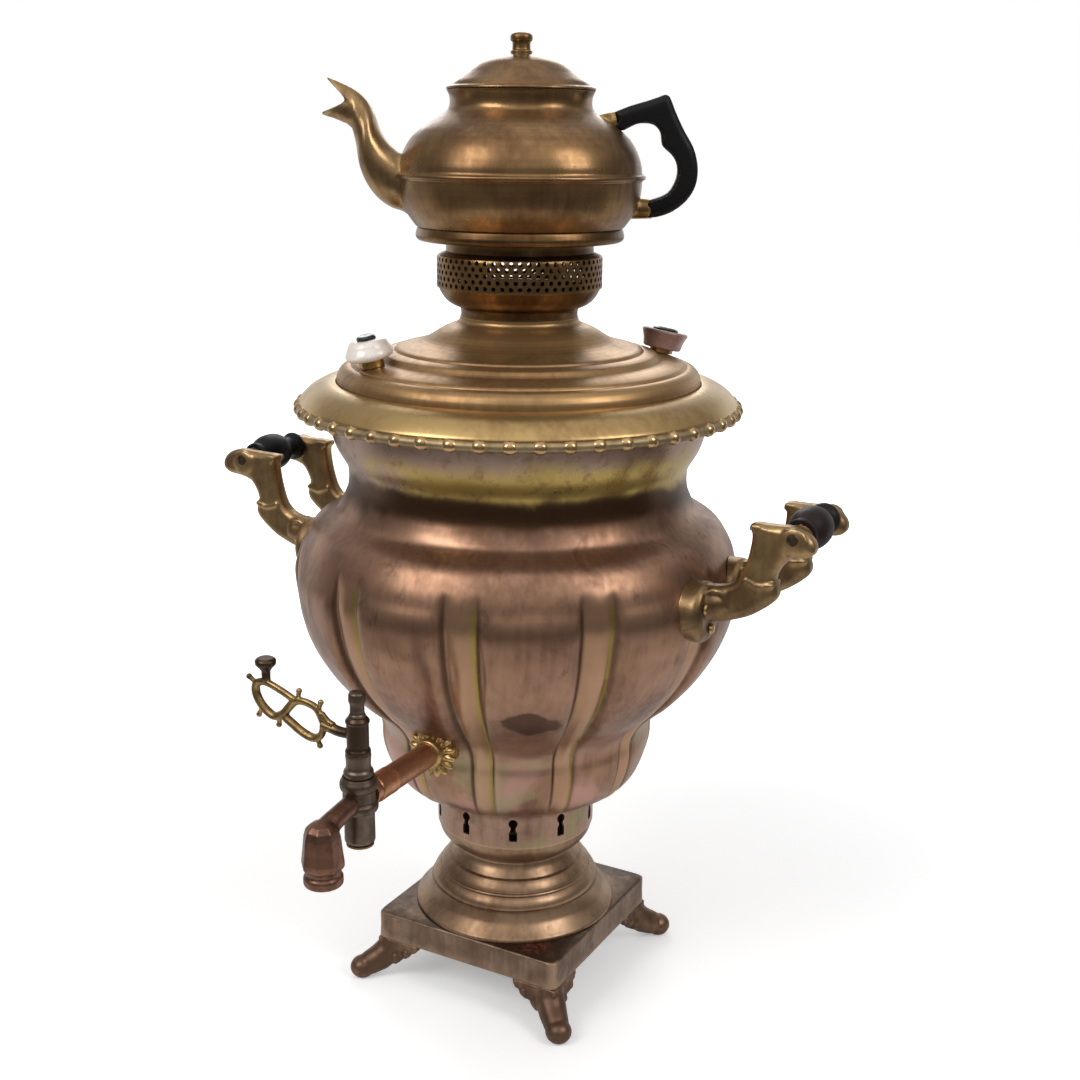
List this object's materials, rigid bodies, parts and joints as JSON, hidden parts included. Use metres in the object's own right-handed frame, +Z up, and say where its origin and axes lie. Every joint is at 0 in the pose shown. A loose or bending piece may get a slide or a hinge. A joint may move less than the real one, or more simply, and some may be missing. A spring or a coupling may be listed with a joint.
{
  "type": "samovar",
  "caption": "Charcoal samovar with a lobed urn on a pedestal and ball feet, a tap with an openwork key, side handles, and a teapot on a pierced crown.",
  "frame": {"origin": "centre of the four feet's footprint, on the table top", "axes": "+Z up; the tap points along -Y; the two handles lie along +X and -X"},
  "size_m": [0.4174, 0.3589, 0.6005],
  "materials": {
    "bronze_base": "cast brass browned with age",
    "fixings": "turned brass screws, rods and rivets",
    "copper_body": "copper-coloured sheet with brown tarnish and worn ribs",
    "sooty_iron": "sooty cast iron and sheet iron",
    "tinned_brass": "tinned brass, dull grey",
    "rim_brass": "bright worn brass",
    "lid_brass": "tarnished brass sheet",
    "cream_porcelain": "cream glazed porcelain",
    "brown_porcelain": "brown glazed porcelain",
    "black_trim": "blackened metal buttons",
    "dark_brass": "dark brown tarnished brass",
    "pot_brass": "brown tarnished brass sheet",
    "black_wood": "black ebonised wood",
    "brown_wood": "dark brown polished wood",
    "tap_bronze": "dark cast bronze",
    "copper_patch": "raw copper band",
    "key_brass": "cast yellow brass",
    "handle_brass": "cast brass with dark patina in the hollows"
  },
  "bodies": {
    "samovar": {"foot_front_left": "bronze_base", "foot_front_right": "bronze_base", "foot_rear_left": "bronze_base", "foot_rear_right": "bronze_base", "base_plate": "bronze_base", "pedestal": "bronze_base", "foot_screws": "fixings", "grip_rods": "fixings", "handle_rivets": "fixings", "ash_ring": "copper_body", "body_shell": "copper_body", "grate": "sooty_iron", "fire_tube": "sooty_iron", "vessel_floor": "tinned_brass", "tap_lock_nut": "tinned_brass", "rim_flange": "rim_brass", "rim_beads": "rim_brass", "tap_rosette": "rim_brass", "grip_left": "black_wood", "grip_right": "brown_wood", "tap_pipe": "tap_bronze", "tap_barrel": "tap_bronze", "tap_nozzle": "tap_bronze", "tap_sleeve": "copper_patch", "arm_left_front": "handle_brass", "arm_left_rear": "handle_brass", "arm_right_front": "handle_brass", "arm_right_rear": "handle_brass"},
    "plug": {"tap_plug": "tap_bronze", "tap_key": "key_brass", "tap_finial": "tap_bronze", "tap_retainer": "fixings"},
    "lid": {"lid_cover": "lid_brass", "lid_knob_stems": "rim_brass", "cream_knob": "cream_porcelain", "brown_knob": "brown_porcelain", "lid_knob_buttons": "black_trim"},
    "crown": {"crown_bowl": "dark_brass", "crown_drum": "dark_brass", "crown_seat": "dark_brass"},
    "teapot": {"pot_lower": "pot_brass", "pot_upper": "pot_brass", "pot_floor": "tinned_brass", "pot_spout": "rim_brass", "pot_strainer": "tinned_brass", "pot_handle": "black_wood", "pot_handle_sockets": "rim_brass"},
    "teapot_lid": {"pot_lid_cover": "pot_brass", "pot_lid_knob": "rim_brass"}
  },
  "joints": [
    {"name": "plug_turn", "type": "hinge", "parent": "samovar", "child": "plug", "pos_m": [0, -0.175, 0.2], "axis": [0, 0, 1], "range_deg": [-25, 205]},
    {"name": "lid_lift", "type": "slide", "parent": "samovar", "child": "lid", "axis": [0, 0, 1], "range_m": [0, 0.12]},
    {"name": "crown_lift", "type": "slide", "parent": "lid", "child": "crown", "axis": [0, 0, 1], "range_m": [0, 0.1]},
    {"name": "teapot_lift", "type": "slide", "parent": "crown", "child": "teapot", "axis": [0, 0, 1], "range_m": [0, 0.15]},
    {"name": "teapot_lid_lift", "type": "slide", "parent": "teapot", "child": "teapot_lid", "axis": [0, 0, 1], "range_m": [0, 0.06]}
  ]
}
